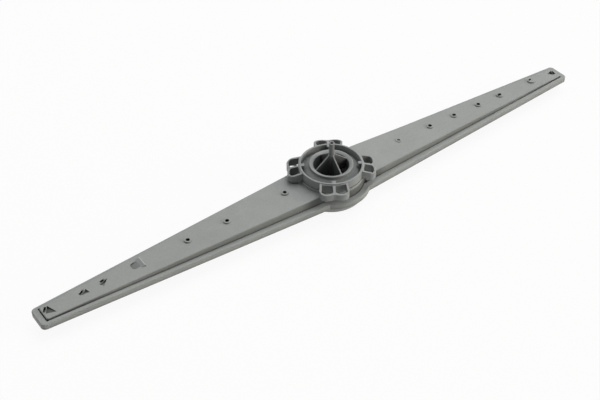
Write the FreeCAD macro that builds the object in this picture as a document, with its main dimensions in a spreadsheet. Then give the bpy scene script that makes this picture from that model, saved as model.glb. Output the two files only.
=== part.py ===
import FreeCAD, Part
import Sketcher
import math
import os

# Upper spray arm of a dishwasher, in millimetres.
# The arm lies along X, the nut and the inlet face up along Z.
# The origin is the centre of the round foot under the hub, where the arm stands.

doc = FreeCAD.newDocument("SprayArm")
sheet = doc.addObject("Spreadsheet::Sheet", "Sizes")

# Every size that can be set by itself, in millimetres or degrees.
sizes = {
    # Lower shell: the rim all round, the hub cup and the belly of the water channel.
    "half_length": 235,  # hub centre to the end of the rim
    "rim_land_mid": 5.1,  # rim outside the shadow gap at the hub centre
    "rim_land_tip": 2.4,  # rim outside the shadow gap at the ends
    "rim_top": 11.5,  # height of the rim's upper face
    "rim_height": 4.1,  # height of the rim's outer wall
    "rim_edge": 0.5,  # bevel on the rim's upper outer edge
    "end_round": 3.4,  # corner radius of the rim at the ends
    "hub_land": 4.5,  # rim outside the shadow gap round the hub housing
    "well_step": 0.2,  # how far the cup's bore stands inside the housing's
    "foot_wall": 2.2,  # wall of the hub cup at its foot
    "foot_thick": 2,  # floor of the hub cup
    "foot_bevel": 0.8,  # bevel on the foot's lower edge
    "seat_ledge": 1.3,  # ledge inside the cap's wall
    "trough_wall": 1.9,  # wall of the trough
    "belly_deep_mid": 5.2,  # how far the belly hangs under the rim at the hub
    "belly_deep_tip": 1.1,  # how far the belly hangs under the rim at its end
    "belly_draft_mid": 1.6,  # draft of the belly's sides at the hub
    "belly_draft_tip": 0.6,  # draft of the belly's sides at the end
    "belly_inset": 7,  # end of the belly from the end of the rim
    "groove_gap": 0.5,  # shadow gap round the cap's wall
    "groove_depth": 1.2,  # depth of the rebate that the cap stands in
    # Upper shell: the tapered cap, the round hub housing and the raised ring.
    "end_land": 4.8,  # end of the cap from the end of the rim
    "cap_half_mid": 18.4,  # half width of the cap at the hub centre
    "cap_half_tip": 6.1,  # half width of the cap at its end
    "cap_height": 6.2,  # height of the cap over the rim at the hub
    "cap_fall": 0.0233,  # fall of the cap's top per millimetre of length
    "cap_level": 12,  # half length of the level middle of the cap
    "cap_wall": 1.8,  # wall of the cap
    "cap_edge": 0.8,  # round on the cap's upper edge
    "cap_corner": 1.6,  # corner radius of the cap at its ends
    "notch_out": 19.7,  # reach of the notches beside the housing from the hub's axis
    "notch_back": 1.9,  # how deep the notches stand in from the cap's greatest half width
    "notch_height": 4.5,  # top of the notches over the rim
    "housing_land": 0.6,  # ledge of the housing outside the nut's ring
    "housing_wall": 1.8,  # wall of the hub housing
    "ring_wide": 1.7,  # width of the raised ring
    "ring_rise": 1.4,  # height of the raised ring under the nut
    # Inlet funnel: lip, flank, neck, plug with snap fingers, spider and post.
    "bore_r": 13,  # bore of the inlet
    "tube_wall": 1.4,  # wall of the inlet tube
    "tube_reach": 2.5,  # lower end of the inlet tube under the rim's top
    "finger_space": 1.1,  # free space behind the snap fingers
    "finger_wall": 1.4,  # thickness of the snap fingers
    "plug_fit": 0.1,  # clearance of the plug in the cap
    "neck_step": 1.3,  # shoulder between the plug and the neck that the nut turns on
    "flange_reach": 2,  # how far the flange stands out over the neck
    "flange_height": 1.05,  # height of the flange's edge
    "funnel_rise": 5.35,  # top of the lip over the flange's underside
    "lip_wide": 3,  # width of the funnel's lip
    "lip_height": 2,  # height of the lip's edge
    "hook_gap": 0.2,  # play between the hooks and the cap
    "hook_height": 1.1,  # height of the hooks' upright face
    "hook_reach": 1,  # how far a hook stands out
    "finger_tip": 1,  # lead-in of the fingers below the hooks
    "finger_gap": 7,  # width of the slots between the fingers
    "finger_root": 0.6,  # web that the fingers' slots leave under the shoulder
    "relief_rise": 0.45,  # top of the space behind the fingers over the flange's underside
    "vane_half": 0.48,  # half thickness of a vane
    "vane_root": 0.3,  # how deep a vane is rooted in the tube
    "vane_sink": 0.7,  # lower edge of the vanes under the cap's top
    "vane_drop": 0.8,  # outer end of a vane under the lip
    "vane_rise": 8.4,  # inner end of a vane over the lip
    "post_r": 2,  # radius of the guide post
    "post_step": 0.2,  # how far the post's root stands out between the vanes
    "post_free": 10,  # length of the post over the vanes
    "post_edge": 0.3,  # bevel on the post's top edge
    "post_hole_r": 1.15,  # radius of the hole in the post
    "post_hole_depth": 18,  # depth of the hole in the post
    "vane_turn": -4,  # angle of the spider to the arm
    # Hub nut: ring with an inner lip, four keys and four double-loop grips.
    "nut_room": 1.7,  # space between the flange and the nut's ring
    "nut_wall": 1.5,  # wall of the nut's ring
    "nut_gap": 0.3,  # play between the nut and the raised ring
    "flange_gap": 0.25,  # play between the nut and the flange
    "run_fit": 0.08,  # running clearance of the nut on the neck
    "nut_height": 6.9,  # height of the nut's ring
    "nut_edge": 0.4,  # bevel on the ring's outer top edge
    "web_height": 1.3,  # height of the nut's inner lip
    "key_half": 1.5,  # half width of an inner key
    "key_reach_top": 2.6,  # how far a key stands in at its top
    "key_reach_low": 0.4,  # how far a key stands in at its foot
    "grip_drop": 1.5,  # lower edge of the grips under the nut's foot
    "grip_root_rise": 6.7,  # top of the grips at the ring over the nut's foot
    "grip_rise": 3.7,  # top of the grips over the nut's foot where their slope ends
    "grip_over": 1,  # how far past the grips their slope ends
    "grip_clear": 0.4,  # clearance of the grips round the housing
    "grip_root_half": 10,  # half width of a grip at the ring
    "grip_half": 10.8,  # half width of a grip at its widest
    "grip_wide": 5.6,  # reach of a grip from the ring where it is widest
    "grip_reach": 8.6,  # reach of a grip from the ring
    "grip_dip": 1.2,  # depth of the dip between a grip's loops
    "grip_lobe_out": 7.4,  # sideways place of a loop's outer front corner
    "grip_lobe_in": 3.2,  # sideways place of a loop's inner front corner
    "grip_wall": 1.4,  # wall of the loops
    "grip_bridge_half": 0.9,  # half width of the wall between two loops
    "grip_corner": 2.4,  # outer corner radius of a loop
    "cell_root": 0.6,  # wall between a cell and the ring at the bridge
    "cell_slant": 0.6,  # how far a cell's front corner stands in from its loop's
    "nut_turn": -32.2,  # angle of the nut to the arm as it lies
    # Jets on the cap. The two inner ones are placed from the hub, the rest from the end.
    "boss_r": 2.6,  # radius of a round jet's boss
    "boss_rise": 0.9,  # height of a round jet's boss
    "boss_root": 0.6,  # how deep a boss is rooted in the cap
    "jet_hole_r": 1.25,  # radius of a round jet's hole
    "jet_y": 1.6,  # sideways place of the row of jets
    "near_jet": 40,  # first round jet of the left half, from the hub
    "mid_jet": 146.1,  # second round jet of the left half, from the end
    "far_jet": 114.3,  # third round jet of the left half, from the end
    "blind_jet": 65,  # unpierced boss of the right half, from the hub
    "first_jet": 138.9,  # first round jet of the right half, from the end
    "second_jet": 114.2,  # second round jet of the right half, from the end
    "third_jet": 88.8,  # third round jet of the right half, from the end
    "blind_r": 2.4,  # radius of the unpierced boss
    "blind_rise": 0.4,  # height of the unpierced boss
    "dimple_r": 1.2,  # radius of the dimple in the unpierced boss
    "dimple_depth": 0.7,  # depth of the dimple
    "long_jet": 66,  # long hole of the right half, from the end
    "long_half": 2.2,  # half length of the long hole
    "long_wide": 0.8,  # half width of the long hole
    "long_turn": 17,  # turn of the long hole to the arm
    "tall_jet": 30.8,  # tall boss of the right half, from the end
    "tall_r": 2.9,  # radius of the tall boss
    "tall_rise": 1.2,  # height of the tall boss
    "tall_half": 1.5,  # half length of the tall boss's slit
    "tall_wide": 0.65,  # half width of the tall boss's slit
    "slit_half": 0.8,  # half width of a slit
    "slit_deep": 3,  # how deep a slit is cut
    "lip_gap": 0.6,  # wall between a slit and its ramp
    "ramp_depth": 1.5,  # depth of a ramp beside its slit
    "inner_slit": 49.8,  # inner slit of the left half, from the end
    "inner_slit_y": 1.9,  # sideways place of the inner slit
    "inner_slit_turn": -78,  # turn of the inner slit's ramp
    "inner_base": 3.6,  # half width of the inner ramp
    "inner_reach": 3.6,  # length of the inner ramp
    "inner_skew": -2.6,  # sideways place of the inner ramp's point
    "inner_slit_long": 2,  # half length of the inner slit
    "outer_slit": 34.4,  # outer slit of the left half, from the end
    "outer_slit_y": 1,  # sideways place of the outer slit
    "outer_slit_turn": -61,  # turn of the outer slit's ramp
    "outer_base": 3.3,  # half width of the outer ramp
    "outer_reach": 3.9,  # length of the outer ramp
    "outer_skew": 2.2,  # sideways place of the outer ramp's point
    "outer_slit_long": 2.6,  # half length of the outer slit
    "end_slit": 8.5,  # end slit of the left half, from the end
    "end_slit_y": 1.7,  # sideways place of the end slit
    "end_slit_turn": -34,  # turn of the end slit's ramp
    "end_base": 3.4,  # half width of the end ramp
    "end_reach": 6.8,  # length of the end ramp
    "end_skew": -1.8,  # sideways place of the end ramp's point
    "end_slit_long": 2.4,  # half length of the end slit
    "tip_slit": 7.8,  # end slit of the right half, from the end
    "tip_slit_y": 0.7,  # sideways place of the right end slit
    "tip_slit_turn": 168,  # turn of the right end slit's ramp
    "tip_base": 2.9,  # half width of the right end ramp
    "tip_reach": 4.4,  # length of the right end ramp
    "tip_slit_long": 2.1,  # half length of the right end slit
    "hood_y": 2.4,  # sideways place of the hood
    "hood_half": 4.5,  # half width of the hood
    "hood_rise": 1.1,  # height of the hood
    "hood_edge": 0.4,  # bevel on the hood's edge over its opening
    "hood_mouth": 79.6,  # where the hood opens, from the end
    "hood_run": 3.4,  # length of the hood
    "hood_slot_half": 3.1,  # half width of the hood's opening
    "hood_slot": 0.45,  # height of the hood's opening
    "hood_throat": 1.8,  # slope of the hood's throat
    "hood_deep": 3.4,  # how deep the hood's throat reaches under the cap
    "scoop_half": 3.1,  # half width of the scoop before the hood
    "scoop_reach": 5.1,  # length of the scoop
    "scoop_deep": 1.3,  # depth of the scoop at its far end
    "scoop_corner": 1.2,  # corner cut off the scoop at its far end
}
for line, (alias, value) in enumerate(sizes.items(), 1):
    sheet.set("A%d" % line, alias.replace("_", " "))
    sheet.set("B%d" % line, str(value))
    sheet.setAlias("B%d" % line, alias)
doc.recompute()

# What follows from the sizes, as sums of their names.
# From the inlet's bore outwards: tube, fingers, plug, neck, flange, nut, housing, cup.
tube_out = "bore_r + tube_wall"
finger_in = tube_out + " + finger_space"
plug_out = finger_in + " + finger_wall"
neck_out = plug_out + " + neck_step"
flange_out = neck_out + " + flange_reach"
nut_in = flange_out + " + nut_room"
nut_out = nut_in + " + nut_wall"
housing_out = nut_out + " + housing_land"
housing_in = housing_out + " - housing_wall"
well_out = housing_in + " - well_step"
# From the foot upwards: rim, cap, raised ring, nut, flange, lip, vanes, post.
rim_low = "rim_top - rim_height"
seat_floor = "rim_top - groove_depth"
cap_top = "rim_top + cap_height"
ring_top = cap_top + " + ring_rise"
nut_low = ring_top + " + nut_gap"
web_top = nut_low + " + web_height"
flange_low = web_top + " + flange_gap"
lip_top = flange_low + " + funnel_rise"
vane_top = lip_top + " + vane_rise"
post_top = vane_top + " + post_free + post_edge"
# Along and across the arm: cap, rebate, channel.
cap_end = "half_length - end_land"
rebate_mid = "cap_half_mid + groove_gap"
rebate_tip = "cap_half_tip + groove_gap"
channel_mid_half = "cap_half_mid - cap_wall - seat_ledge"
channel_tip_half = "cap_half_tip - cap_wall - seat_ledge"


def plain(word):
    return word.replace(".", "", 1).isdigit()


def size(word):
    """A plain number, or the sheet's value of that name."""
    if plain(word):
        return float(word)
    return float(getattr(sheet, word))


def number(text):
    """Value of a sum such as 'rim_top - rim_height', or of 2 * a name."""
    total = 0.0
    sign = 1.0
    for word in text.split():
        if word in ("+", "-"):
            sign = 1.0 if word == "+" else -1.0
            continue
        product = 1.0
        for factor in word.split("*"):
            product = product * size(factor)
        total = total + sign * product
        sign = 1.0
    return total


def bound(text):
    """The same sum as an expression on the sheet."""
    words = []
    for word in text.split():
        if word in ("+", "-"):
            words.append(word)
            continue
        factors = []
        for factor in word.split("*"):
            factors.append(factor if plain(factor) else "Sizes." + factor)
        words.append(" * ".join(factors))
    return " ".join(words)


def minus(text):
    """The same sum with every sign turned."""
    words = text.split()
    if words[0] not in ("+", "-"):
        words.insert(0, "+")
    turned = {"+": "-", "-": "+"}
    words = [turned.get(word, word) for word in words]
    if words[0] == "+":
        words.pop(0)
    return " ".join(words)


def times(text, factor):
    """The same sum with every term multiplied."""
    return " ".join(word if word in ("+", "-") else word + "*" + factor for word in text.split())


def bind(thing, name, text):
    """Ties one property of a feature to a sum of sizes."""
    setattr(thing, name, number(text))
    thing.setExpression(name, bound(text))


def new_body(name):
    body = doc.addObject("PartDesign::Body", name)
    body.Label = name
    return body


def origin_part(body, role):
    for item in body.Origin.OriginFeatures:
        if item.Role == role:
            return item
    raise ValueError(role)


def sketch(body, name, role, lift="0", turn="0"):
    """A sketch on one of the body's own planes, lifted and turned about Z."""
    made = body.newObject("Sketcher::SketchObject", name)
    made.AttachmentSupport = [(origin_part(body, role), "")]
    made.MapMode = "FlatFace"
    spin = FreeCAD.Vector(0, 0, 1) if role == "XY_Plane" else FreeCAD.Vector(0, 1, 0)
    turned = FreeCAD.Rotation(spin, number(turn))
    made.AttachmentOffset = FreeCAD.Placement(FreeCAD.Vector(0, 0, number(lift)), turned)
    made.setExpression("AttachmentOffset.Base.z", bound(lift))
    if turn != "0":
        made.setExpression("AttachmentOffset.Rotation.Angle", bound(turn))
    return made


def pin_point(made, index, corner, spot):
    """Ties one point of a sketch to two sums of sizes."""
    across = number(spot[0])
    along = number(spot[1])
    if spot[0] == "0":
        made.addConstraint(Sketcher.Constraint("PointOnObject", index, corner, -2))
    else:
        made.addConstraint(Sketcher.Constraint("DistanceX", -1, 1, index, corner, across))
        made.setExpression("Constraints[%d]" % (made.ConstraintCount - 1), bound(spot[0]))
    if spot[1] == "0":
        made.addConstraint(Sketcher.Constraint("PointOnObject", index, corner, -1))
    else:
        made.addConstraint(Sketcher.Constraint("DistanceY", -1, 1, index, corner, along))
        made.setExpression("Constraints[%d]" % (made.ConstraintCount - 1), bound(spot[1]))


def outline(made, spots):
    """A closed run of straight lines through the given points."""
    start = made.GeometryCount
    count = len(spots)
    for place in range(count):
        here = spots[place]
        there = spots[(place + 1) % count]
        first = FreeCAD.Vector(number(here[0]), number(here[1]), 0)
        second = FreeCAD.Vector(number(there[0]), number(there[1]), 0)
        made.addGeometry(Part.LineSegment(first, second), False)
    for place in range(count):
        after = start + (place + 1) % count
        made.addConstraint(Sketcher.Constraint("Coincident", start + place, 2, after, 1))
    for place in range(count):
        pin_point(made, start + place, 1, spots[place])


def ring(made, radius, spot=("0", "0")):
    """A circle with its radius and centre tied to sizes."""
    centre = FreeCAD.Vector(number(spot[0]), number(spot[1]), 0)
    index = made.GeometryCount
    made.addGeometry(Part.Circle(centre, FreeCAD.Vector(0, 0, 1), number(radius)), False)
    made.addConstraint(Sketcher.Constraint("Radius", index, number(radius)))
    made.setExpression("Constraints[%d]" % (made.ConstraintCount - 1), bound(radius))
    if spot == ("0", "0"):
        made.addConstraint(Sketcher.Constraint("Coincident", index, 3, -1, 1))
    else:
        pin_point(made, index, 3, spot)


def settle(body, feature, cuts=False, before=0.0):
    """Rebuilds, makes the feature the tip and sees that it did its work."""
    body.Tip = feature
    doc.recompute()
    volume = feature.Shape.Volume
    if "Invalid" in feature.State or "Error" in feature.State:
        raise RuntimeError(feature.Label + " failed")
    if cuts and not volume < before - 0.01:
        raise RuntimeError(feature.Label + " cut nothing")
    if not cuts and before and not volume > before + 0.01:
        raise RuntimeError(feature.Label + " added nothing")
    return feature


def volume_now(body):
    return body.Tip.Shape.Volume if body.Tip and not body.Tip.Shape.isNull() else 0.0


def pad(body, name, profile, length, back="0", flip=False):
    before = volume_now(body)
    made = body.newObject("PartDesign::Pad", name)
    made.Profile = profile
    made.Reversed = flip
    bind(made, "Length", length)
    if back != "0":
        made.SideType = "Two sides"
        bind(made, "Length2", back)
    return settle(body, made, False, before)


def pocket(body, name, profile, length, flip=False, both=False):
    before = volume_now(body)
    made = body.newObject("PartDesign::Pocket", name)
    made.Profile = profile
    made.Reversed = flip
    if both:
        made.SideType = "Symmetric"
    bind(made, "Length", length)
    return settle(body, made, True, before)


def lathe(body, kind, name, profile, angle="360"):
    """A turned form about Z: kind is Revolution or Groove."""
    before = volume_now(body)
    made = body.newObject("PartDesign::" + kind, name)
    made.Profile = profile
    made.ReferenceAxis = (profile, ["V_Axis"])
    bind(made, "Angle", angle)
    return settle(body, made, kind == "Groove", before)


def loft(body, kind, name, first, last):
    before = volume_now(body)
    made = body.newObject("PartDesign::" + kind, name)
    made.Profile = first
    made.Sections = [last]
    made.Ruled = True
    return settle(body, made, kind == "SubtractiveLoft", before)


def mirrored(body, name, feature, role, cuts):
    before = volume_now(body)
    made = body.newObject("PartDesign::Mirrored", name)
    made.Originals = [feature]
    made.MirrorPlane = (origin_part(body, role), [""])
    return settle(body, made, cuts, before)


def around(body, name, features, count, cuts):
    """Repeats features about Z."""
    before = volume_now(body)
    made = body.newObject("PartDesign::PolarPattern", name)
    made.Originals = features
    made.Axis = (origin_part(body, "Z_Axis"), [""])
    made.Angle = 360
    made.Occurrences = count
    return settle(body, made, cuts, before)


def dressed(body, kind, name, property_name, value, wanted):
    """Rounds or bevels every edge of the tip that the test picks."""
    base = body.Tip
    names = []
    for place, edge in enumerate(base.Shape.Edges):
        if wanted(edge):
            names.append("Edge%d" % (place + 1))
    if not names:
        raise RuntimeError(name + " found no edge")
    made = body.newObject("PartDesign::" + kind, name)
    made.Base = (base, names)
    bind(made, property_name, value)
    return settle(body, made)


def rounded(body, name, radius, wanted):
    return dressed(body, "Fillet", name, "Radius", radius, wanted)


def bevelled(body, name, width, wanted):
    return dressed(body, "Chamfer", name, "Size", width, wanted)


def near(first, second):
    return abs(first - second) < 0.02


def upright(edge):
    box = edge.BoundBox
    return box.XLength < 0.01 and box.YLength < 0.01 and box.ZLength > 0.05


def level(edge, height):
    box = edge.BoundBox
    return near(box.ZMin, height) and near(box.ZMax, height)


def taper_plan(made, end, half_mid, half_tip):
    """Plan of a strip that tapers from the hub to both ends."""
    outline(made, [
        (minus(end), minus(half_tip)),
        ("0", minus(half_mid)),
        (end, minus(half_tip)),
        (end, half_tip),
        ("0", half_mid),
        (minus(end), half_tip),
    ])


def trough_section(body, name, lift, half, foot_half, low, high):
    """Cross section of the belly or of a hollow, wider at the top."""
    made = sketch(body, name, "YZ_Plane", lift)
    outline(made, [
        (minus(foot_half), low),
        (foot_half, low),
        (half, high),
        (minus(half), high),
    ])
    return made


# Lower shell.
# The rim is one flat strip that swells round the hub, the cup and the belly hang from it.
lower = new_body("lower_shell")
rim_plan = sketch(lower, "RimPlan", "XY_Plane", rim_low)
taper_plan(rim_plan, "half_length", rebate_mid + " + rim_land_mid", rebate_tip + " + rim_land_tip")
pad(lower, "Rim", rim_plan, "rim_height")


def rim_corner(edge):
    return upright(edge) and near(abs(edge.BoundBox.XMax), number("half_length"))


rounded(lower, "RimCorners", "end_round", rim_corner)
bevelled(lower, "RimEdge", "rim_edge", lambda edge: level(edge, number("rim_top")))
cup_side = sketch(lower, "CupSide", "XZ_Plane")
bulge_out = housing_out + " + groove_gap + hub_land"
foot_out = well_out + " + foot_wall"
outline(cup_side, [
    ("0", "0"),
    (foot_out + " - foot_bevel", "0"),
    (foot_out, "foot_bevel"),
    (bulge_out, rim_low),
    (bulge_out, "rim_top - rim_edge"),
    (bulge_out + " - rim_edge", "rim_top"),
    ("0", "rim_top"),
])
lathe(lower, "Revolution", "Cup", cup_side)

# The belly hangs under the rim and tapers to both ends.
belly_mid_half = channel_mid_half + " + trough_wall"
belly_tip_half = channel_tip_half + " + trough_wall"
belly_mid_low = rim_low + " - belly_deep_mid"
belly_tip_low = rim_low + " - belly_deep_tip"
belly_high = rim_low + " + rim_edge"
belly_mid = trough_section(lower, "BellyMid", "0", belly_mid_half,
                           belly_mid_half + " - belly_draft_mid", belly_mid_low, belly_high)
belly_end = trough_section(lower, "BellyEnd", "half_length - belly_inset", belly_tip_half,
                           belly_tip_half + " - belly_draft_tip", belly_tip_low, belly_high)
belly = loft(lower, "AdditiveLoft", "Belly", belly_mid, belly_end)
mirrored(lower, "BellyOther", belly, "YZ_Plane", False)

# The channel and the cup's hollow, then the rebate that the cap's wall stands in.
channel_mid = trough_section(lower, "ChannelMid", "0", channel_mid_half,
                             channel_mid_half + " - belly_draft_mid",
                             belly_mid_low + " + trough_wall", "rim_top")
channel_end = trough_section(lower, "ChannelEnd", "half_length - belly_inset - trough_wall",
                             channel_tip_half, channel_tip_half + " - belly_draft_tip",
                             belly_tip_low + " + trough_wall", "rim_top")
channel = loft(lower, "SubtractiveLoft", "Channel", channel_mid, channel_end)
mirrored(lower, "ChannelOther", channel, "YZ_Plane", True)
well_plan = sketch(lower, "WellPlan", "XY_Plane", "rim_top")
ring(well_plan, well_out)
pocket(lower, "Well", well_plan, "rim_top - foot_thick")
rebate_plan = sketch(lower, "RebatePlan", "XY_Plane", "rim_top")
taper_plan(rebate_plan, cap_end + " + groove_gap", rebate_mid, rebate_tip)
pocket(lower, "Rebate", rebate_plan, "groove_depth")
collar_plan = sketch(lower, "CollarPlan", "XY_Plane", "rim_top")
ring(collar_plan, housing_out + " + groove_gap")
pocket(lower, "CollarRebate", collar_plan, "groove_depth")

# Upper shell.
# A tapered strip whose top falls towards both ends, with the hub housing over it.
upper = new_body("upper_shell")
cap_plan = sketch(upper, "CapPlan", "XY_Plane", seat_floor)
taper_plan(cap_plan, cap_end, "cap_half_mid", "cap_half_tip")
pad(upper, "Cap", cap_plan, "cap_height + groove_depth")


def cap_top_at(place):
    """Height of the cap's top at a place along the arm beyond its level middle."""
    level_top = cap_top + " + cap_level*cap_fall "
    drop = minus(times(place, "cap_fall"))
    return level_top + (drop if drop.startswith("-") else "+ " + drop)


cap_side = sketch(upper, "CapSide", "XZ_Plane")
past_end = cap_end + " + cap_wall"
outline(cap_side, [
    ("- cap_level", cap_top),
    ("cap_level", cap_top),
    (past_end, cap_top_at(past_end)),
    (past_end, cap_top + " + cap_wall"),
    (minus(past_end), cap_top + " + cap_wall"),
    (minus(past_end), cap_top_at(past_end)),
])
pocket(upper, "CapSlope", cap_side, "3*cap_half_mid", both=True)


def cap_corner(edge):
    return upright(edge) and near(abs(edge.BoundBox.XMax), number(cap_end))


def cap_top_edge(edge):
    box = edge.BoundBox
    high = box.ZMin > number("rim_top") + 0.5
    return high and not upright(edge) and box.XLength > 0.1


rounded(upper, "CapCorners", "cap_corner", cap_corner)
rounded(upper, "CapEdge", "cap_edge", cap_top_edge)

# Shallow notches in the cap's walls, which the housing leaves open beside it.
notch_plan = sketch(upper, "NotchPlan", "XY_Plane", seat_floor)
for side in ("cap_half_mid", "- cap_half_mid"):
    inward = " - notch_back" if side == "cap_half_mid" else " + notch_back"
    outward = " + notch_back" if side == "cap_half_mid" else " - notch_back"
    outline(notch_plan, [
        ("- notch_out", side + inward),
        ("notch_out", side + inward),
        ("notch_out", side + outward),
        ("- notch_out", side + outward),
    ])
pocket(upper, "Notches", notch_plan, "groove_depth + notch_height", flip=True)
housing_plan = sketch(upper, "HousingPlan", "XY_Plane", seat_floor)
ring(housing_plan, housing_out)
pad(upper, "Housing", housing_plan, "groove_depth + cap_height + ring_rise")
bevelled(upper, "HousingEdge", "rim_edge", lambda edge: level(edge, number(ring_top)))
deck_plan = sketch(upper, "DeckPlan", "XY_Plane", ring_top)
ring(deck_plan, housing_out + " - ring_wide")
pocket(upper, "Deck", deck_plan, "ring_rise")

# The hollow under the cap follows its taper. Its roof slopes down to the ends.
hollow_plan = sketch(upper, "HollowPlan", "XY_Plane", cap_top + " - cap_wall")
roof_fall = math.degrees(math.atan(number("cap_fall")))
roof_tilt = FreeCAD.Rotation(FreeCAD.Vector(0, 1, 0), roof_fall)
hollow_plan.AttachmentOffset = FreeCAD.Placement(hollow_plan.AttachmentOffset.Base, roof_tilt)
hollow_mid_half = "cap_half_mid - cap_wall"
hollow_tip_half = "cap_half_tip - cap_wall"
hollow_far = cap_end + " - cap_wall"
outline(hollow_plan, [
    ("0", minus(hollow_mid_half)),
    (hollow_far, minus(hollow_tip_half)),
    (hollow_far, hollow_tip_half),
    ("0", hollow_mid_half),
])
hollow = pocket(upper, "Hollow", hollow_plan, "cap_height + groove_depth")
mirrored(upper, "HollowOther", hollow, "YZ_Plane", True)
room_plan = sketch(upper, "RoomPlan", "XY_Plane", seat_floor)
ring(room_plan, housing_in)
pocket(upper, "Room", room_plan, "groove_depth + cap_height - cap_wall", flip=True)
seat_plan = sketch(upper, "SeatPlan", "XY_Plane", ring_top)
ring(seat_plan, plug_out + " + plug_fit")
pocket(upper, "Seat", seat_plan, "cap_height + ring_rise")


def from_end(name):
    return "half_length - " + name


def boss(name, spot, radius, rise):
    """A low round boss on the cap."""
    reach = minus(spot) if spot.startswith("-") else spot
    plan = sketch(upper, name + "Plan", "XY_Plane", cap_top_at(reach) + " - boss_root")
    ring(plan, radius, (spot, "jet_y"))
    pad(upper, name, plan, "boss_root + " + rise)


# The round jets: six pierced bosses, one blind boss with a dimple, one tall boss.
pierced = {
    "NearJet": "- near_jet",
    "MidJet": minus(from_end("mid_jet")),
    "FarJet": minus(from_end("far_jet")),
    "FirstJet": from_end("first_jet"),
    "SecondJet": from_end("second_jet"),
    "ThirdJet": from_end("third_jet"),
}
for name, spot in pierced.items():
    boss(name, spot, "boss_r", "boss_rise")
boss("BlindJet", "blind_jet", "blind_r", "blind_rise")
boss("LongJet", from_end("long_jet"), "boss_r", "boss_rise")
boss("TallJet", from_end("tall_jet"), "tall_r", "tall_rise")
holes = sketch(upper, "JetHolePlan", "XY_Plane", ring_top)
for spot in pierced.values():
    ring(holes, "jet_hole_r", (spot, "jet_y"))
pocket(upper, "JetHoles", holes, "cap_height + ring_rise")
dimple_plan = sketch(upper, "DimplePlan", "XY_Plane", cap_top_at("blind_jet") + " + blind_rise")
ring(dimple_plan, "dimple_r", ("blind_jet", "jet_y"))
pocket(upper, "Dimple", dimple_plan, "dimple_depth")


def jet_sketch(name, spot, across, turn, sink, tilt):
    """A sketch at a jet: turned with it, sunk under the cap's top, tilted up its ramp."""
    made = upper.newObject("Sketcher::SketchObject", name)
    made.AttachmentSupport = [(origin_part(upper, "XY_Plane"), "")]
    made.MapMode = "FlatFace"
    reach = minus(spot) if spot.startswith("-") else spot
    height = cap_top_at(reach) + " " + sink
    base = FreeCAD.Vector(number(spot), number(across), number(height))
    about_z = FreeCAD.Rotation(FreeCAD.Vector(0, 0, 1), number(turn))
    about_y = FreeCAD.Rotation(FreeCAD.Vector(0, 1, 0), -tilt)
    made.AttachmentOffset = FreeCAD.Placement(base, about_z.multiply(about_y))
    made.setExpression("AttachmentOffset.Base.x", bound(spot))
    made.setExpression("AttachmentOffset.Base.y", bound(across))
    made.setExpression("AttachmentOffset.Base.z", bound(height))
    return made


def sloped_floor(name, spot, across, turn, deep, reach, spots):
    """A hollow in the cap whose floor rises along it to the cap's top."""
    tilt = math.degrees(math.atan2(number(deep), number(reach)))
    plan = jet_sketch(name + "Plan", spot, across, turn, "- " + deep, tilt)
    outline(plan, spots)
    pocket(upper, name, plan, "2*" + deep, flip=True)


def slit_jet(name, spot, across, turn, base, reach, skew, long):
    """A slit through the cap beside a ramp that runs up to a point."""
    sloped_floor(name + "Ramp", spot, across, turn, "ramp_depth", reach,
                 [("0", minus(base)), (reach, skew), ("0", base)])
    slit = jet_sketch(name + "SlitPlan", spot, across, turn, "+ 0", 0)
    outline(slit, [
        ("- lip_gap", minus(long)),
        ("- lip_gap", long),
        ("- lip_gap - 2*slit_half", long),
        ("- lip_gap - 2*slit_half", minus(long)),
    ])
    pocket(upper, name + "Slit", slit, "slit_deep")


# The slit jets: a triangular ramp, a thin wall and a slit behind it.
slit_jet("InnerSlit", minus(from_end("inner_slit")), "inner_slit_y", "inner_slit_turn",
         "inner_base", "inner_reach", "inner_skew", "inner_slit_long")
slit_jet("OuterSlit", minus(from_end("outer_slit")), "outer_slit_y", "outer_slit_turn",
         "outer_base", "outer_reach", "outer_skew", "outer_slit_long")
slit_jet("EndSlit", minus(from_end("end_slit")), "end_slit_y", "end_slit_turn",
         "end_base", "end_reach", "end_skew", "end_slit_long")
slit_jet("TipSlit", from_end("tip_slit"), "tip_slit_y", "tip_slit_turn",
         "tip_base", "tip_reach", "0", "tip_slit_long")

# The long hole and the tall boss's slit, both turned a little to the arm.
long_plan = jet_sketch("LongHolePlan", from_end("long_jet"), "jet_y", "long_turn",
                       "+ boss_rise", 0)
outline(long_plan, [
    ("- long_half", "0"),
    ("- long_half + long_wide", "- long_wide"),
    ("long_half - long_wide", "- long_wide"),
    ("long_half", "0"),
    ("long_half - long_wide", "long_wide"),
    ("- long_half + long_wide", "long_wide"),
])
pocket(upper, "LongHole", long_plan, "slit_deep + boss_rise")
tall_plan = jet_sketch("TallSlitPlan", from_end("tall_jet"), "jet_y", "long_turn",
                       "+ tall_rise", 0)
outline(tall_plan, [
    ("- tall_half", "tall_wide"),
    ("tall_half", "tall_wide"),
    ("tall_half", "3*tall_wide"),
    ("- tall_half", "3*tall_wide"),
])
pocket(upper, "TallSlit", tall_plan, "slit_deep + tall_rise")

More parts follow.
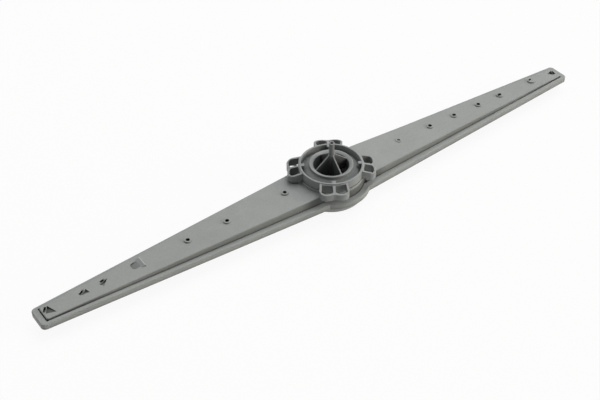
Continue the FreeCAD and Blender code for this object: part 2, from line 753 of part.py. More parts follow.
# The hooded jet of the left half opens to the hub, with a scoop before it on the tip side.
mouth = from_end("hood_mouth")
brow = mouth + " + hood_edge"
toe = mouth + " + hood_run"
mouth_low = cap_top_at(mouth)
hood_side = sketch(upper, "HoodSide", "XZ_Plane", "- hood_y")
outline(hood_side, [
    (minus(toe), cap_top_at(toe) + " - boss_root"),
    (minus(mouth), mouth_low + " - boss_root"),
    (minus(mouth), mouth_low + " + hood_rise - hood_edge"),
    (minus(brow), mouth_low + " + hood_rise"),
    (minus(toe), cap_top_at(toe)),
])
hood_before = volume_now(upper)
hood = upper.newObject("PartDesign::Pad", "Hood")
hood.Profile = hood_side
hood.SideType = "Symmetric"
bind(hood, "Length", "2*hood_half")
settle(upper, hood, False, hood_before)
sloped_floor("Scoop", minus(toe + " + scoop_reach"), "hood_y", "0", "scoop_deep", "scoop_reach", [
    ("0", "- scoop_half + scoop_corner"),
    ("scoop_corner", "- scoop_half"),
    ("scoop_reach", "- scoop_half"),
    ("scoop_reach", "scoop_half"),
    ("scoop_corner", "scoop_half"),
    ("0", "scoop_half - scoop_corner"),
])
throat_side = sketch(upper, "ThroatSide", "XZ_Plane", "- hood_y")
outline(throat_side, [
    (minus(mouth) + " + hood_slot", mouth_low),
    (minus(mouth) + " + hood_slot", mouth_low + " + hood_slot"),
    (minus(mouth) + " - hood_slot", mouth_low + " + hood_slot"),
    (minus(mouth) + " - hood_throat - hood_slot", mouth_low + " - hood_deep"),
    (minus(mouth) + " - hood_throat + hood_slot", mouth_low + " - hood_deep"),
    (minus(mouth), mouth_low),
])
pocket(upper, "Throat", throat_side, "2*hood_slot_half", both=True)

# Inlet funnel.
# One turned form from the lip down to the snap fingers, then slots, spider and post.
funnel = new_body("inlet_funnel")
tube_low = "rim_top - tube_reach"
hook_top = cap_top + " - cap_wall - hook_gap"
hook_low = hook_top + " - hook_height"
finger_low = hook_low + " - finger_tip"
relief_top = flange_low + " + relief_rise"
lip_out = "bore_r + lip_wide"
funnel_side = sketch(funnel, "FunnelSide", "XZ_Plane")
outline(funnel_side, [
    ("bore_r", tube_low),
    (tube_out, tube_low),
    (tube_out, relief_top),
    (finger_in, relief_top),
    (finger_in, finger_low),
    (plug_out, finger_low),
    (plug_out + " + hook_reach", hook_low),
    (plug_out + " + hook_reach", hook_top),
    (plug_out, hook_top),
    (plug_out, cap_top),
    (neck_out, cap_top),
    (neck_out, flange_low),
    (flange_out, flange_low),
    (flange_out, flange_low + " + flange_height"),
    (lip_out, lip_top + " - lip_height"),
    (lip_out, lip_top),
    ("bore_r", lip_top),
])
lathe(funnel, "Revolution", "Turned", funnel_side)
slot_plan = sketch(funnel, "SlotPlan", "XY_Plane", finger_low)
slot_in = finger_in + " - finger_root"
slot_out = plug_out + " + 2*hook_reach"
outline(slot_plan, [
    (slot_in, "- 0.5*finger_gap"),
    (slot_out, "- 0.5*finger_gap"),
    (slot_out, "0.5*finger_gap"),
    (slot_in, "0.5*finger_gap"),
])
slot = pocket(funnel, "Slot", slot_plan,
              "cap_wall + hook_gap + hook_height + finger_tip - finger_root", flip=True)
around(funnel, "Slots", [slot], 4, True)
vane_low = cap_top + " - vane_sink"
vane_side = sketch(funnel, "VaneSide", "XZ_Plane")
outline(vane_side, [
    ("0", vane_low),
    ("bore_r + vane_root", vane_low),
    ("bore_r + vane_root", lip_top + " - vane_drop"),
    ("post_r + post_step", vane_top),
    ("0", vane_top),
])
vane_before = volume_now(funnel)
vane = funnel.newObject("PartDesign::Pad", "Vane")
vane.Profile = vane_side
vane.SideType = "Symmetric"
bind(vane, "Length", "2*vane_half")
settle(funnel, vane, False, vane_before)
around(funnel, "Vanes", [vane], 4, False)

# The post is a little thicker between the vanes than above them.
post_side = sketch(funnel, "PostSide", "XZ_Plane")
outline(post_side, [
    ("0", vane_low),
    ("post_r + post_step", vane_low),
    ("post_r + post_step", vane_top),
    ("post_r", vane_top),
    ("post_r", post_top + " - post_edge"),
    ("post_r - post_edge", post_top),
    ("0", post_top),
])
lathe(funnel, "Revolution", "Post", post_side)
post_hole_plan = sketch(funnel, "PostHolePlan", "XY_Plane", post_top)
ring(post_hole_plan, "post_hole_r")
pocket(funnel, "PostHole", post_hole_plan, "post_hole_depth")

# Hub nut.
# Its foot is turned, then come the grips with their cells and slope, the ring and the keys.
nut = new_body("hub_nut")
nut_top = nut_low + " + nut_height"
grip_low = nut_low + " - grip_drop"
grip_root_high = nut_low + " + grip_root_rise"
grip_high = nut_low + " + grip_rise"
grip_wide_out = nut_out + " + grip_wide"
grip_out = nut_out + " + grip_reach"
grip_clear_out = housing_out + " + grip_clear"
foot_side = sketch(nut, "FootSide", "XZ_Plane")
outline(foot_side, [
    (neck_out + " + run_fit", nut_low),
    (nut_out, nut_low),
    (nut_out, web_top),
    (neck_out + " + run_fit", web_top),
])
lathe(nut, "Revolution", "Foot", foot_side)
grip_plan = sketch(nut, "GripPlan", "XY_Plane", grip_low)
outline(grip_plan, [
    (nut_in + " - nut_wall", "- grip_root_half"),
    (grip_wide_out, "- grip_half"),
    (grip_out, "- grip_lobe_out"),
    (grip_out, "- grip_lobe_in"),
    (grip_out + " - grip_dip", "0"),
    (grip_out, "grip_lobe_in"),
    (grip_out, "grip_lobe_out"),
    (grip_wide_out, "grip_half"),
    (nut_in + " - nut_wall", "grip_root_half"),
])
grip = pad(nut, "Grip", grip_plan, "grip_drop + grip_root_rise")
around(nut, "Grips", [grip], 4, False)


def grip_corner_edge(edge):
    middle = edge.CenterOfMass
    outer = math.hypot(middle.x, middle.y) > number(grip_wide_out)
    return upright(edge) and outer


rounded(nut, "GripCorners", "grip_corner", grip_corner_edge)
cell_plan = sketch(nut, "CellPlan", "XY_Plane", grip_root_high)
for side in ("", "- "):
    back = " - " if side == "" else " + "
    outline(cell_plan, [
        (nut_out + " + cell_root", side + "grip_bridge_half"),
        (grip_out + " - grip_dip - grip_wall", side + "grip_bridge_half"),
        (grip_out + " - grip_wall", side + "grip_lobe_in"),
        (grip_out + " - grip_wall", side + "grip_lobe_out" + back + "cell_slant"),
        (grip_wide_out, side + "grip_half" + back + "grip_wall"),
        (nut_out + " - cell_root", side + "grip_root_half" + back + "grip_wall"),
    ])
cell = pocket(nut, "Cell", cell_plan, "grip_drop + grip_root_rise")
around(nut, "Cells", [cell], 4, True)
slope_side = sketch(nut, "SlopeSide", "XZ_Plane")
outline(slope_side, [
    (nut_in, grip_root_high),
    (grip_out + " + grip_over", grip_high),
    (grip_out + " + grip_over", nut_top),
    (nut_in, nut_top),
])
slope = pocket(nut, "Slope", slope_side, "3*grip_half", both=True)
around(nut, "Slopes", [slope], 4, True)
ring_side = sketch(nut, "RingSide", "XZ_Plane")
outline(ring_side, [
    (nut_in, nut_low),
    (nut_out, nut_low),
    (nut_out, nut_top + " - nut_edge"),
    (nut_out + " - nut_edge", nut_top),
    (nut_in, nut_top),
])
lathe(nut, "Revolution", "Ring", ring_side)
relief_side = sketch(nut, "ReliefSide", "XZ_Plane")
outline(relief_side, [
    (neck_out, grip_low),
    (grip_clear_out, grip_low),
    (grip_clear_out, nut_low),
    (neck_out, nut_low),
])
lathe(nut, "Groove", "Relief", relief_side)
bore_side = sketch(nut, "BoreSide", "XZ_Plane")
outline(bore_side, [
    (neck_out + " + run_fit", web_top),
    (nut_in, web_top),
    (nut_in, nut_top),
    (neck_out + " + run_fit", nut_top),
])
lathe(nut, "Groove", "Bore", bore_side)
key_foot = nut_low + " + 0.5*web_height"
key_back = nut_in + " + 0.5*nut_wall"
key_side = sketch(nut, "KeySide", "XZ_Plane")
outline(key_side, [
    (key_back, key_foot),
    (nut_in + " - key_reach_low", key_foot),
    (nut_in + " - key_reach_top", nut_top),
    (key_back, nut_top),
])
key_before = volume_now(nut)
key = nut.newObject("PartDesign::Pad", "Key")
key.Profile = key_side
key.SideType = "Symmetric"
bind(key, "Length", "2*key_half")
settle(nut, key, False, key_before)
around(nut, "Keys", [key], 4, False)

# The funnel and the nut are turned on the hub's axis, the shells are not.
for body, turn in ((funnel, "vane_turn"), (nut, "nut_turn")):
    spun = FreeCAD.Rotation(FreeCAD.Vector(0, 0, 1), number(turn))
    body.Placement = FreeCAD.Placement(FreeCAD.Vector(0, 0, 0), spun)
    body.setExpression("Placement.Rotation.Angle", bound(turn))
doc.recompute()

# Everything is checked before the first file is written.
for item in doc.Objects:
    if "Invalid" in item.State or "Error" in item.State:
        raise RuntimeError(item.Label + " did not rebuild")
subparts = (lower, upper, funnel, nut)
for body in subparts:
    if body.Shape.isNull() or not body.Shape.isValid() or len(body.Shape.Solids) != 1:
        raise RuntimeError(body.Label + " is not one sound solid")
os.makedirs("parts", exist_ok=True)
for body in subparts:
    body.Shape.exportStep("parts/" + body.Label + ".step")
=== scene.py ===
import bmesh
import bpy
from math import cos, pi, radians, sin
from mathutils import Matrix, Vector


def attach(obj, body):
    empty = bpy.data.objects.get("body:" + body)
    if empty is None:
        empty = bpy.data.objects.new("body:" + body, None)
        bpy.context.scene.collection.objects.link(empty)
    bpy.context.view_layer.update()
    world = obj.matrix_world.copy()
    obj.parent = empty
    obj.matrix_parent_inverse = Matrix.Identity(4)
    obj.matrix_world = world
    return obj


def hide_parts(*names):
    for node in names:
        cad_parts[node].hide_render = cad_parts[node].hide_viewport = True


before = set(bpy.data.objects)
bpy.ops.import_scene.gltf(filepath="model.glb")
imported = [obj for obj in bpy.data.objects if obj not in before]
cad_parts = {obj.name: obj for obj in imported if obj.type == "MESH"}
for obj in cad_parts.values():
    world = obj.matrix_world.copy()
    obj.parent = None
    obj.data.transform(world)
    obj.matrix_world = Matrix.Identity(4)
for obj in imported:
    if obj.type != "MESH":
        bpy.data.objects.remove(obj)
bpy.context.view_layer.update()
mm = 0.001

# Shells.
# Lower trough and upper cap are two mouldings of light grey polypropylene, welded
# along the shadow gap. The skin is matte from the mould, with a faint flow marbling.
shell_grey = (0.300, 0.316, 0.308, 1)
shell_pale = (0.345, 0.358, 0.348, 1)
shell_rough = (0.42, 0.6)
# Shell shading: a painted highlight on the edges, painted shade in the grooves and hollows
# (weaker on the half with five round jets) and in the recesses, and a painted highlight on the
# hooded jet's brow.
shell_edge_highlight = 0.25
groove_reach = 2.5
far_groove_share = 0.3
edge_width = 0.35
grain_height = 0.04
hollow_shade_strength = 0.75
edge_highlight_tone = 1.5
hollow_shade_tone = 0.06
painted_shade_tone = 0.1
brow_highlight_tone = 1.7


def shader_node(tree, kind, inputs, **settings):
    """A new shader node with its settings, its inputs linked or set to plain values."""
    node = tree.nodes.new("ShaderNode" + kind)
    for key, value in settings.items():
        setattr(node, key, value)
    for key, value in inputs.items():
        if isinstance(value, bpy.types.NodeSocket):
            tree.links.new(value, node.inputs[key])
        else:
            node.inputs[key].default_value = value
    return node


def calculated(tree, operation, first, second=0.0):
    """One step of arithmetic on shader values or plain numbers."""
    return shader_node(tree, "Math", {0: first, 1: second}, operation=operation).outputs["Value"]


def graded(tree, value, start, end, low, high):
    """An even change from low to high while the value goes from start to end."""
    return shader_node(tree, "MapRange", {"Value": value, "From Min": start, "From Max": end,
                                          "To Min": low, "To Max": high}).outputs["Result"]


def mixed(tree, share, colour, other, blend="MIX"):
    """A colour with a share of another one laid over it."""
    return shader_node(tree, "MixRGB", {"Fac": share, "Color1": colour, "Color2": other},
                       blend_type=blend).outputs["Color"]


def tinted(colour, strength):
    """The colour at another strength."""
    return [strength * part for part in colour[:3]] + [1]


def parts_of(tree, vector):
    """The x, y and z of a place or a direction."""
    return list(shader_node(tree, "SeparateXYZ", {"Vector": vector}).outputs)


def facing(tree):
    """The way that the surface faces."""
    return tree.nodes.new("ShaderNodeNewGeometry").outputs["Normal"]


def openness(tree, reach):
    """1 in the open, down to 0 where other faces within the reach close a place in."""
    return shader_node(tree, "AmbientOcclusion", {"Distance": reach * mm},
                       samples=8).outputs["AO"]


def from_axis(tree, spot, x=0, y=0):
    """How far a place is from an upright axis, seen from above. It is the hub's own axis
    where no other is given."""
    plan = shader_node(tree, "VectorMath", {0: spot, 1: (1, 1, 0)}, operation="MULTIPLY")
    return shader_node(tree, "VectorMath", {0: plan.outputs["Vector"], 1: (x * mm, y * mm, 0)},
                       operation="DISTANCE").outputs["Value"]


def moulded_plastic(name, grey, pale, rough, edge_highlight, hollow_reach, far_share, shades):
    """Matte moulded polypropylene: marbling, specks, a painted highlight on the edges, painted
    shade in the hollows, and the piece's own painted shade and highlights over them. On the half
    of the arm with five round jets, the hollows keep only the far share of their painted shade."""
    made = bpy.data.materials.new(name)
    made.use_nodes = True
    tree = made.node_tree
    skin = tree.nodes["Principled BSDF"]
    skin.inputs["IOR"].default_value = 1.49
    skin.inputs["Specular IOR Level"].default_value = 0.25
    spot = tree.nodes.new("ShaderNodeTexCoord").outputs["Object"]

    marble = shader_node(tree, "TexNoise", {"Vector": spot, "Scale": 38, "Detail": 5,
                                            "Roughness": 0.6, "Distortion": 0.8}).outputs["Fac"]
    tones = shader_node(tree, "ValToRGB", {"Fac": marble})
    ends = tones.color_ramp.elements
    ends[0].position, ends[1].position = 0.3, 0.75
    ends[0].color, ends[1].color = grey, pale
    speck = shader_node(tree, "TexNoise", {"Vector": spot, "Scale": 900, "Detail": 3})
    dusted = mixed(tree, 0.12, tones.outputs["Color"], speck.outputs["Fac"], "OVERLAY")

    # Painted highlight on sharp edges, where the bevelled normal parts from the face's own.
    corner = shader_node(tree, "Bevel", {"Radius": edge_width * mm}, samples=4).outputs["Normal"]
    meeting = shader_node(tree, "VectorMath", {0: corner, 1: facing(tree)},
                          operation="DOT_PRODUCT")
    edge_highlight_share = graded(tree, meeting.outputs["Value"], 0.99, 0.80, 0, edge_highlight)
    tone = mixed(tree, edge_highlight_share, dusted, tinted(pale, edge_highlight_tone))

    # Painted shade in hollows that other faces close in, weaker on the half with five round
    # jets.
    closed_in = graded(tree, openness(tree, hollow_reach), 0.05, 0.55, hollow_shade_strength, 0)
    kept_dark = graded(tree, parts_of(tree, spot)[0], -80 * mm, 80 * mm, 1, far_share)
    hollow = calculated(tree, "MULTIPLY", closed_in, kept_dark)
    tone = mixed(tree, hollow, tone, tinted(grey, hollow_shade_tone))
    # Over that, the piece's own painted shade and highlights.
    for share, colour in shades(tree, spot):
        tone = mixed(tree, share, tone, colour)
    tree.links.new(tone, skin.inputs["Base Color"])
    tree.links.new(graded(tree, marble, 0, 1, *rough), skin.inputs["Roughness"])

    grain = shader_node(tree, "TexNoise", {"Vector": spot, "Scale": 2600, "Detail": 2})
    bump = shader_node(tree, "Bump", {"Strength": 0.25, "Distance": grain_height * mm,
                                      "Height": grain.outputs["Fac"], "Normal": corner})
    tree.links.new(bump.outputs["Normal"], skin.inputs["Normal"])
    return made


cup_top = 7
wall_low = 7.6
wall_middle = 9.8
# Painted shade on the lower half of the rim's wall.
low_wall_dark = 0.26


def trough_shades(tree, spot):
    """Darkens the lower half of the rim's wall, which turns away from the light, but not
    the cup under it."""
    height = parts_of(tree, spot)[2]
    over_cup = graded(tree, height, cup_top * mm, (cup_top + 0.3) * mm, 0, 1)
    low_wall = graded(tree, height, wall_low * mm, wall_middle * mm, low_wall_dark, 0)
    dark = calculated(tree, "MULTIPLY", over_cup, low_wall)
    return [(dark, tinted(shell_grey, painted_shade_tone))]


# The cap's skin is flat over the hub's middle and falls evenly from there to both tips.
cap_flat = 17.7
cap_ridge = 17.98
cap_fall = 0.0233
# Painted shade on the cap's jet ramps and on the walls under its skin, stronger near the hub and
# toward the tips.
just_sunk = 0.03
fully_sunk = 0.45
hub_walls_end = 34
arm_walls_start = 42
hub_wall_dark = 0.6
arm_wall_dark = 0.22
last_ramps = 185
tip_ramps = 222
ramp_dark = 0.36
tip_ramp_dark = 0.72

# The jets with a hole stand in one row beside the arm's middle line.
row_half = 8
row_side = 1.6
pierced_jets = (-120.7, -88.9, -40, 96.1, 120.8, 146.2, 169)
# Painted shade in and round the jets' holes.
mouth = 1.35
mouth_edge = 1.75
hole_reach = 4
hole_dark = 0.95
hood_end = -149
brow_rise = 0.93


def depth_in_cap(tree, out, height):
    """How deep a place lies under the cap's skin."""
    fallen = calculated(tree, "MULTIPLY", out, cap_fall)
    slope = calculated(tree, "SUBTRACT", cap_ridge * mm, fallen)
    cap_skin = calculated(tree, "MINIMUM", slope, cap_flat * mm)
    return calculated(tree, "SUBTRACT", cap_skin, height)


def cap_shades(tree, spot):
    """Paints shade on the jets' ramps, the walls under the cap's skin, the jets' holes and their
    mouths, and paints a highlight on the brow over the hooded jet."""
    along, across, height = parts_of(tree, spot)
    out = calculated(tree, "ABSOLUTE", along)
    depth = depth_in_cap(tree, out, height)
    sunk = graded(tree, depth, just_sunk * mm, fully_sunk * mm, 0, 1)
    aside = calculated(tree, "ABSOLUTE", across)
    in_row = graded(tree, aside, row_half * mm, (row_half + 1) * mm, 1, 0)

    level = graded(tree, parts_of(tree, facing(tree))[2], 0.2, 0.7, 0, 1)
    toward_tip = graded(tree, out, last_ramps * mm, tip_ramps * mm, ramp_dark, tip_ramp_dark)
    ramp = calculated(tree, "MULTIPLY", toward_tip, calculated(tree, "MAXIMUM", level, in_row))
    wall = graded(tree, from_axis(tree, spot), hub_walls_end * mm, arm_walls_start * mm,
                  hub_wall_dark, arm_wall_dark)
    dark = calculated(tree, "MULTIPLY", sunk, calculated(tree, "MAXIMUM", ramp, wall))

    hole = graded(tree, openness(tree, hole_reach), 0.25, 0.5, hole_dark, 0)
    dark = calculated(tree, "MAXIMUM", dark, calculated(tree, "MULTIPLY", hole, in_row))
    for jet in pierced_jets:
        away = from_axis(tree, spot, jet, row_side)
        in_mouth = graded(tree, away, mouth * mm, mouth_edge * mm, hole_dark, 0)
        dark = calculated(tree, "MAXIMUM", dark, in_mouth)

    # Painted highlight on the hooded jet's brow.
    over_skin = graded(tree, depth, -(brow_rise + 0.05) * mm, -brow_rise * mm, 1, 0)
    at_hood = graded(tree, along, (hood_end - 1) * mm, hood_end * mm, 1, 0)
    brow = calculated(tree, "MULTIPLY", over_skin, at_hood)
    return [(dark, tinted(shell_grey, painted_shade_tone)), (brow, tinted(shell_pale, brow_highlight_tone))]


for shell, plastic, shades in (("lower_shell", "trough_plastic", trough_shades),
                               ("upper_shell", "cap_plastic", cap_shades)):
    shell_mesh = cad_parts[shell].data
    shell_mesh.materials.clear()
    shell_mesh.materials.append(moulded_plastic(plastic, shell_grey, shell_pale, shell_rough,
                                                shell_edge_highlight, groove_reach, far_groove_share,
                                                shades))

# Inlet funnel.
# The inlet is one moulding of the same plastic, a little darker: a tube with a funnel
# lip, four thin vanes and a hollow post. It snaps into the cap with its four fingers.
hub_grey = (0.272, 0.285, 0.284, 1)
hub_pale = (0.326, 0.340, 0.337, 1)
hub_rough = (0.36, 0.52)
# The hub's edges take a strong painted highlight, and its hollows, bore and well take painted
# shade.
hub_edge_highlight = 0.9
cell_reach = 6.5
bore_dark = 0.74
post_dark = 0.3
well_dark = 0.22

# Radii from the axis outwards, then heights from the bottom up.
bore = 13
tube = 14.4
finger_in = 15.5
lip = 16
plug = 16.9
neck = 18.2
flange = 20.2
well_side = 21.9
tube_low = 9
plug_low = 17.1
deck_top = 17.7
neck_top = 20.95
gap_top = 21.4
flange_top = 22
lip_low = 24.3
well_top = 24.9
dish_low = 25.5
lip_top = 26.55
dark_below = 30
lit_above = 37
lip_width = 0.8


def hub_shades(tree, spot):
    """Paints shade on the upright faces within the bore, which are the wall, the vanes and the
    post, less so above it, and on the well between the lip and the nut's ring."""
    height = parts_of(tree, spot)[2]
    radius = from_axis(tree, spot)
    within = graded(tree, radius, (bore - 0.2) * mm, (bore + 0.1) * mm, 1, 0)
    upright_face = graded(tree, parts_of(tree, facing(tree))[2], 0.3, 0.6, 1, 0)
    deep = graded(tree, height, dark_below * mm, lit_above * mm, bore_dark, post_dark)
    wall = calculated(tree, "MULTIPLY", calculated(tree, "MULTIPLY", within, upright_face), deep)

    past_lip = graded(tree, radius, (lip - 0.1) * mm, (lip + 0.2) * mm, 0, well_dark)
    in_ring = graded(tree, radius, (well_side - 0.3) * mm, well_side * mm, 1, 0)
    low = graded(tree, height, (well_top - 0.5) * mm, well_top * mm, 1, 0)
    well = calculated(tree, "MULTIPLY", past_lip, calculated(tree, "MULTIPLY", in_ring, low))
    dark = calculated(tree, "MAXIMUM", wall, well)
    return [(dark, tinted(hub_grey, painted_shade_tone))]


hub_plastic = moulded_plastic("hub_plastic", hub_grey, hub_pale, hub_rough, hub_edge_highlight,
                              cell_reach, 1, hub_shades)

axis_steps = 112
crease = radians(32)
plane_reach = 1e-7
quarter_turns = [quarter * pi / 2 for quarter in range(4)]


def spun(outline):
    """A closed profile of (radius, height) points in millimetres, turned round the hub."""
    build = bmesh.new()
    points = [build.verts.new((radius * mm, 0, height * mm)) for radius, height in outline]
    lines = [build.edges.new(pair) for pair in zip(points, points[1:] + points[:1])]
    bmesh.ops.spin(build, geom=points + lines, cent=(0, 0, 0), axis=(0, 0, 1), dvec=(0, 0, 0),
                   angle=2 * pi, steps=axis_steps, use_merge=True, use_normal_flip=False,
                   use_duplicate=False)
    bmesh.ops.recalc_face_normals(build, faces=build.faces)
    return build


def everything(build):
    """All of a build, in the one list that an operator takes."""
    return build.verts[:] + build.edges[:] + build.faces[:]


def points_of(made):
    """The points of what an operator has made."""
    return [part for part in made["geom"] if isinstance(part, bmesh.types.BMVert)]


def plate(outline, half):
    """A plate on the hub's radius, with an outline of (radius, height) points."""
    build = bmesh.new()
    side = build.faces.new([build.verts.new((radius * mm, -half * mm, height * mm))
                            for radius, height in outline])
    thick = bmesh.ops.extrude_face_region(build, geom=[side])
    bmesh.ops.translate(build, vec=(0, 2 * half * mm, 0), verts=points_of(thick))
    bmesh.ops.recalc_face_normals(build, faces=build.faces)
    return build


def rounded_off(build, width, segments, sharper_than=28, wanted=None):
    """Rounds the sharp edges of a mould, or those of them that the test picks."""
    sharp = [edge for edge in build.edges
             if edge.is_manifold and edge.calc_face_angle() > radians(sharper_than)
             and (wanted is None or wanted(edge))]
    bmesh.ops.bevel(build, geom=sharp, offset=width * mm, offset_type="OFFSET",
                    segments=segments, profile=0.5, affect="EDGES", clamp_overlap=True,
                    material=-1)


def turned(build, turn):
    """Turns a build round the hub's axis."""
    bmesh.ops.rotate(build, verts=build.verts, cent=(0, 0, 0),
                     matrix=Matrix.Rotation(turn, 3, "Z"))


def add_to(whole, part, turns=(0,)):
    """Puts a part of a moulding into the whole at each of the turns, and is done with it."""
    mesh = bpy.data.meshes.new("part")
    for turn in turns:
        turned(part, turn)
        part.to_mesh(mesh)
        whole.from_mesh(mesh)
        turned(part, -turn)
    bpy.data.meshes.remove(mesh)
    part.free()


def moulding(name, build, material, body, stands_for):
    """Turns the finished build into a smooth piece that replaces its CAD node."""
    mesh = bpy.data.meshes.new(name)
    build.to_mesh(mesh)
    build.free()
    mesh.materials.append(material)
    piece = bpy.data.objects.new(name, mesh)
    bpy.context.collection.objects.link(piece)
    mesh.shade_smooth()
    for edge in mesh.edges:
        edge.use_edge_sharp = False
    mesh.set_sharp_from_angle(angle=crease)
    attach(piece, body)
    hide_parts(stands_for)


funnel_build = spun([
    (bore, tube_low), (tube, tube_low), (tube, gap_top), (finger_in, gap_top),
    (finger_in, plug_low), (plug, plug_low), (plug, deck_top), (neck, deck_top),
    (neck, neck_top), (flange, neck_top), (flange, flange_top), (lip, lip_low),
    (lip, lip_top), (lip - lip_width, lip_top), (bore, dish_low),
])
rounded_off(funnel_build, width=0.3, segments=3)

# Four thin vanes slope from the bore's edge up to the post.
vane_turn = radians(-4)
vane_half = 0.48
vane_low = 17
vane_top = 34.7
vane_end = bore + 0.3
post_root = 2.2
vane_build = plate([(0, vane_low), (vane_end, vane_low), (vane_end, dish_low),
                    (post_root, vane_top), (0, vane_top)], vane_half)
rounded_off(vane_build, width=0.14, segments=2)
add_to(funnel_build, vane_build, [vane_turn + turn for turn in quarter_turns])

# The snap fingers hang between wide slots, each with a hook under the cap.
finger_low = 13.6
finger_top = 17.2
hook = plug + 1
hook_low = 14.6
hook_top = 15.7
slot_half = 3.5
finger_build = spun([(finger_in, finger_low), (plug, finger_low), (hook, hook_low),
                     (hook, hook_top), (plug, hook_top), (plug, finger_top),
                     (finger_in, finger_top)])
for turn in quarter_turns[:2]:
    across = Vector((sin(turn), cos(turn), 0))
    for way in (1, -1):
        bmesh.ops.bisect_plane(finger_build, geom=everything(finger_build),
                               plane_co=across * way * slot_half * mm, plane_no=across,
                               dist=plane_reach)
    between = [face for face in finger_build.faces
               if abs(face.calc_center_median().dot(across)) < slot_half * mm]
    bmesh.ops.delete(finger_build, geom=between, context="FACES")
bmesh.ops.holes_fill(finger_build, edges=[edge for edge in finger_build.edges
                                          if edge.is_boundary], sides=0)
bmesh.ops.recalc_face_normals(finger_build, faces=finger_build.faces)
add_to(funnel_build, finger_build, [vane_turn])

# The post is hollow from its top down to a floor, and solid under that but for a hair-thin
# axis.
post = 2
post_bore = 1.15
post_floor = 27
post_top = 45
post_axis = 0.05
post_build = spun([(post_bore, post_floor), (post_bore, post_top), (post, post_top),
                   (post, vane_top), (post_root, vane_top), (post_root, vane_low),
                   (post_axis, vane_low), (post_axis, post_floor)])
rounded_off(post_build, width=0.22, segments=3)
add_to(funnel_build, post_build)
moulding("inlet_moulding", funnel_build, hub_plastic, "arm", "inlet_funnel")

# Hub nut.
# The nut is one moulding too: a ring that turns on the funnel's neck, four keys inside
# that lock it on the feed pipe, and four double loops outside for the fingertips.
nut_turn = radians(-32.2)
nut_bore = neck + 0.08
nut_in = well_side
nut_out = 23.4
nut_low = 19.4
web_top = 20.7
nut_top = 26.3
nut_build = spun([(nut_bore, nut_low), (nut_out, nut_low), (nut_out, nut_top),
                  (nut_in, nut_top), (nut_in, web_top), (nut_bore, web_top)])
rounded_off(nut_build, width=0.35, segments=3)

# A grip starts as one flat loop of its wall. The loop is raised, its outer part hangs lower
# than the ring, its top slopes down and out, and a mirrored twin makes the double loop.
grip_low = 17.9
grip_high = 25.7
grip_fall = 0.27
grip_clear = 24.4
merge_reach = 1e-6
loop_outside = [(22.4, 0), (30.8, 0), (32.0, 3.2), (32.0, 7.4), (29.0, 10.8), (21.4, 10)]
loop_inside = [(24.0, 0.9), (29.4, 0.9), (30.6, 3.2), (30.6, 6.8), (29.0, 9.4), (22.8, 8.6)]
grip_build = bmesh.new()
wall_lines = []
for corners in (loop_outside, loop_inside):
    points = [grip_build.verts.new((x * mm, y * mm, nut_low * mm)) for x, y in corners]
    wall_lines += [grip_build.edges.new(pair) for pair in zip(points, points[1:] + points[:1])]
bmesh.ops.bridge_loops(grip_build, edges=wall_lines)
bmesh.ops.bisect_plane(grip_build, geom=everything(grip_build),
                       plane_co=(grip_clear * mm, 0, 0), plane_no=(1, 0, 0), dist=plane_reach)


def raised(build, faces, height):
    """Lifts the faces by a height and walls in what they leave."""
    grown = bmesh.ops.extrude_face_region(build, geom=faces, use_keep_orig=True)
    bmesh.ops.translate(build, vec=(0, 0, height * mm), verts=points_of(grown))


loop_faces = grip_build.faces[:]
outer_faces = [face for face in loop_faces if face.calc_center_median().x > grip_clear * mm]
raised(grip_build, loop_faces, grip_high - nut_low)
raised(grip_build, outer_faces, grip_low - nut_low)
bmesh.ops.delete(grip_build, geom=outer_faces, context="FACES_KEEP_BOUNDARY")
bmesh.ops.remove_doubles(grip_build, verts=grip_build.verts, dist=merge_reach)
for point in grip_build.verts:
    if point.co.z > web_top * mm:
        point.co.z = (grip_high - grip_fall * (point.co.x / mm - nut_in)) * mm
twin = bmesh.ops.duplicate(grip_build, geom=everything(grip_build))
bmesh.ops.scale(grip_build, vec=(1, -1, 1), verts=points_of(twin))
middle = [face for face in grip_build.faces
          if all(abs(point.co.y) < plane_reach for point in face.verts)]
bmesh.ops.delete(grip_build, geom=middle, context="FACES")
bmesh.ops.remove_doubles(grip_build, verts=grip_build.verts, dist=merge_reach)
bmesh.ops.recalc_face_normals(grip_build, faces=grip_build.faces)


corner_reach = 0.1


def upright(corners):
    """A test for the upright edges that stand on the given corners, on either side."""
    def picked(edge):
        low, high = edge.verts[0].co, edge.verts[1].co
        place = Vector((low.x, abs(low.y), 0)) / mm
        return (abs(low.z - high.z) > 0.99 * (low - high).length
                and any((place - Vector((x, y, 0))).length < corner_reach for x, y in corners))
    return picked


outer_corners = upright(loop_outside[1:5])
rounded_off(grip_build, width=2.3, segments=6, sharper_than=12, wanted=outer_corners)
rounded_off(grip_build, width=1.1, segments=4, sharper_than=12, wanted=upright(loop_inside))
rounded_off(grip_build, width=0.22, segments=2, sharper_than=50)
add_to(nut_build, grip_build, quarter_turns)

# A key is a wedge inside the ring that reaches further in toward its top.
key_half = 1.5
key_back = 22.6
key_foot = 21.5
key_head = 19.3
key_low = 20
key_top = nut_top - 0.1
key_build = plate([(key_back, key_low), (key_foot, key_low), (key_head, key_top),
                   (key_back, key_top)], key_half)
rounded_off(key_build, width=0.25, segments=2)
add_to(nut_build, key_build, quarter_turns)
turned(nut_build, nut_turn)
moulding("nut_moulding", nut_build, hub_plastic, "nut", "hub_nut")

# Floor.
# The arm stands on its foot on a plain white sweep. It shows as white paper to the
# camera, with only a faint part of the real shadow left in it.
floor_reach = 4.0
paper_glow = 0.92
plain_white = (1, 1, 1, 1)
floor_build = bmesh.new()
bmesh.ops.create_grid(floor_build, x_segments=1, y_segments=1, size=floor_reach)
floor_mesh = bpy.data.meshes.new("floor")
floor_build.to_mesh(floor_mesh)
floor_build.free()
floor = bpy.data.objects.new("floor", floor_mesh)
bpy.context.collection.objects.link(floor)


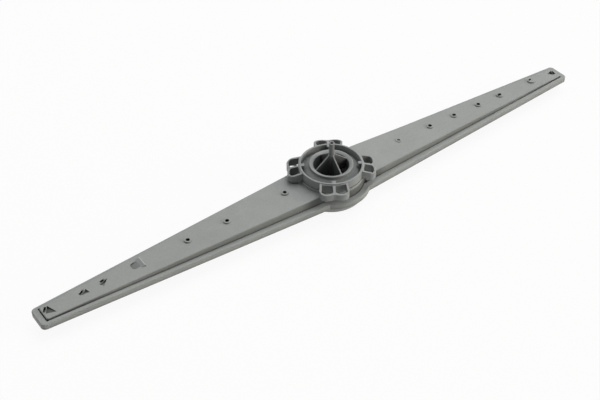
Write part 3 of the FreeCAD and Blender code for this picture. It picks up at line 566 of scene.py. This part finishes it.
def shown_plain(tree, real, plain, share, output):
    """Gives the output the real shader, with a share of the plain one laid over it for the
    rays that see it straight, in a mirror or through glass."""
    rays = tree.nodes.new("ShaderNodeLightPath").outputs
    seen = rays["Is Camera Ray"]
    for ray in ("Is Glossy Ray", "Is Transmission Ray"):
        seen = calculated(tree, "MAXIMUM", seen, rays[ray])
    mix = shader_node(tree, "MixShader", {"Fac": calculated(tree, "MULTIPLY", seen, share),
                                          1: real, 2: plain})
    tree.links.new(mix.outputs["Shader"], tree.nodes[output].inputs["Surface"])


paper = bpy.data.materials.new("white_paper")
paper.use_nodes = True
sheet = paper.node_tree.nodes["Principled BSDF"]
sheet.inputs["Base Color"].default_value = (0.86, 0.86, 0.85, 1)
sheet.inputs["Roughness"].default_value = 0.9
sheet.inputs["Specular IOR Level"].default_value = 0.1
glow = shader_node(paper.node_tree, "Emission", {"Color": plain_white, "Strength": 1.0})
shown_plain(paper.node_tree, sheet.outputs["BSDF"], glow.outputs["Emission"], paper_glow,
            "Material Output")
floor_mesh.materials.append(paper)

# Studio.
# A large soft lamp hangs high behind the arm, a smaller warm one stands low on the right
# and a weak one on the left. A dim room fills the shadows and shows as plain white.
room_light = 0.04
world = bpy.data.worlds.new("studio")
bpy.context.scene.world = world
world.use_nodes = True
room = world.node_tree.nodes["Background"]
room.inputs["Color"].default_value = plain_white
room.inputs["Strength"].default_value = room_light
backdrop = shader_node(world.node_tree, "Background", {"Color": plain_white, "Strength": 1.0})
shown_plain(world.node_tree, room.outputs["Background"], backdrop.outputs["Background"], 1.0,
            "World Output")


def soft_lamp(name, place, width, watts, colour=(1, 1, 1)):
    """A square soft lamp that faces the hub."""
    data = bpy.data.lights.new(name, "AREA")
    data.color = colour
    data.size = width
    data.energy = watts
    lamp = bpy.data.objects.new(name, data)
    lamp.location = place
    lamp.rotation_euler = (-Vector(place)).to_track_quat("-Z", "Y").to_euler()
    bpy.context.collection.objects.link(lamp)


soft_lamp("key_lamp", (2.0, 1.1, 4.4), width=4.6, watts=205)
soft_lamp("front_lamp", (3.7, -3.1, 1.3), width=2, watts=150, colour=(1, 0.955, 0.87))
soft_lamp("back_lamp", (-2.9, 2.5, 3.2), width=2.5, watts=36)

# Camera.
# A longer lens looks down on the arm from the left front, so that the arm runs from
# the lower left to the upper right of the picture.
camera_data = bpy.data.cameras.new("camera")
camera_data.sensor_width = 36
camera_data.lens = 66.8
camera_data.clip_start = 0.01
camera = bpy.data.objects.new("camera", camera_data)
camera.location = (-382.5 * mm, -490.7 * mm, 533.8 * mm)
camera.rotation_euler = (radians(48.892), 0, radians(-35.865))
bpy.context.collection.objects.link(camera)
bpy.context.scene.camera = camera
bpy.context.scene.view_settings.view_transform = "Standard"
